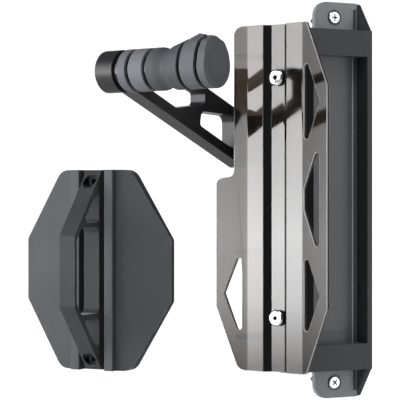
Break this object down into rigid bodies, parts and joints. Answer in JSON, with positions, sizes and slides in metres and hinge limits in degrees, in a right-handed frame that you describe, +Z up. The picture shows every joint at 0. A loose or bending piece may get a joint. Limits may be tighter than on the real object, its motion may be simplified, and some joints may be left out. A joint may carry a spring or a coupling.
{
  "type": "bicycle wall rack",
  "caption": "Swinging bicycle wall rack: flat wall bracket, hinged grooved tyre guide with a rubber-banded hook on an arm, and a separate octagonal rear-wheel plate with a lock bar.",
  "frame": {"origin": "on the wall bracket's back face, midway between the two wall screws", "axes": "+Z up, +Y into the wall, -Y out of the wall, +X to the right seen from the front"},
  "size_m": [0.2896, 0.1823, 0.308],
  "materials": {
    "bracket_paint": "satin",
    "bright_steel": "polished",
    "hinge_steel": "satin",
    "bearing_plastic": "matte",
    "post_black": "satin",
    "guide_gloss": "gloss",
    "black_trim": "matte",
    "arm_black": "satin",
    "black_steel": "satin",
    "core_black": "satin",
    "grey_rubber": "matte",
    "rear_charcoal": "satin",
    "bar_charcoal": "satin"
  },
  "bodies": {
    "rack_fixed": {"wall_bracket": "bracket_paint", "wall_screws": "bright_steel", "hinge_rod": "hinge_steel", "hinge_clips": "hinge_steel", "thrust_washers": "bearing_plastic", "rear_plate": "rear_charcoal", "rear_lock_bar": "bar_charcoal", "rear_bar_screws": "black_steel"},
    "swing_holder": {"swing_post": "post_black", "hinge_bush_upper": "bearing_plastic", "hinge_bush_lower": "bearing_plastic", "tyre_guide": "guide_gloss", "guide_screws": "bright_steel", "guide_washers": "black_trim", "hook_arm": "arm_black", "arm_bolts": "black_steel", "hook_spindle": "hinge_steel", "spindle_bolt": "black_steel", "hook_core": "core_black", "hook_band_inner": "grey_rubber", "hook_band_middle": "grey_rubber", "hook_saddle": "grey_rubber", "hook_lip": "grey_rubber", "hook_end_cap": "grey_rubber"}
  },
  "joints": [
    {"name": "swing", "type": "hinge", "parent": "rack_fixed", "child": "swing_holder", "pos_m": [-0.045, -0.0115, 0], "axis": [0, 0, 1], "range_deg": [0, 100]}
  ]
}
